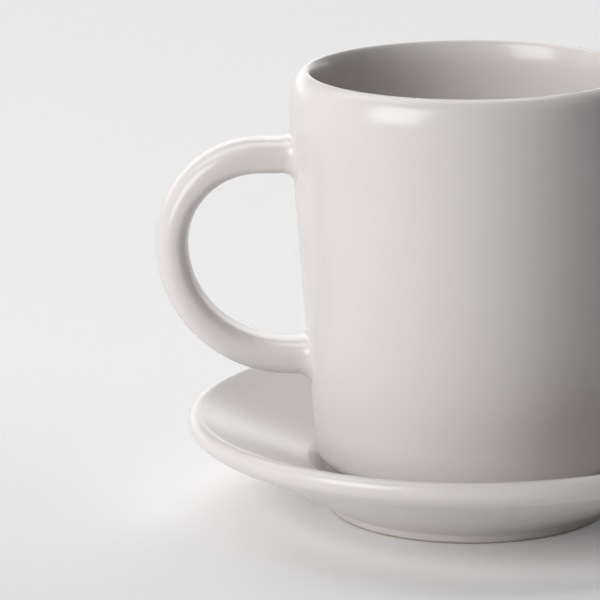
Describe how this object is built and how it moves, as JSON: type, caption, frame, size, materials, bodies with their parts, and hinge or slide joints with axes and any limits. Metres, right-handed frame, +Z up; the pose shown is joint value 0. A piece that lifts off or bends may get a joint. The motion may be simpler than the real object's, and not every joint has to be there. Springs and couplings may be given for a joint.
{
  "type": "espresso cup with saucer",
  "caption": "Small straight-sided coffee cup with a rolled lip and a strap handle, standing in the well of a dished saucer on a foot ring.",
  "frame": {"origin": "centre of the saucer's foot ring, in the plane of the table", "axes": "+Z up along the axis of the cup and the saucer, handle towards -X, X and Z span the plane of symmetry"},
  "size_m": [0.1005, 0.0954, 0.0751],
  "materials": {
    "cup_glaze": "satin warm light grey glaze",
    "handle_glaze": "satin warm light grey glaze",
    "saucer_glaze": "satin warm light grey glaze, bare clay on the foot ring"
  },
  "bodies": {
    "saucer": {"saucer": "saucer_glaze"},
    "cup": {"cup_body": "cup_glaze", "cup_handle": "handle_glaze"}
  },
  "joints": [
    {"name": "cup_lift", "type": "slide", "parent": "saucer", "child": "cup", "axis": [0, 0, 1], "range_m": [0, 0.08]}
  ]
}
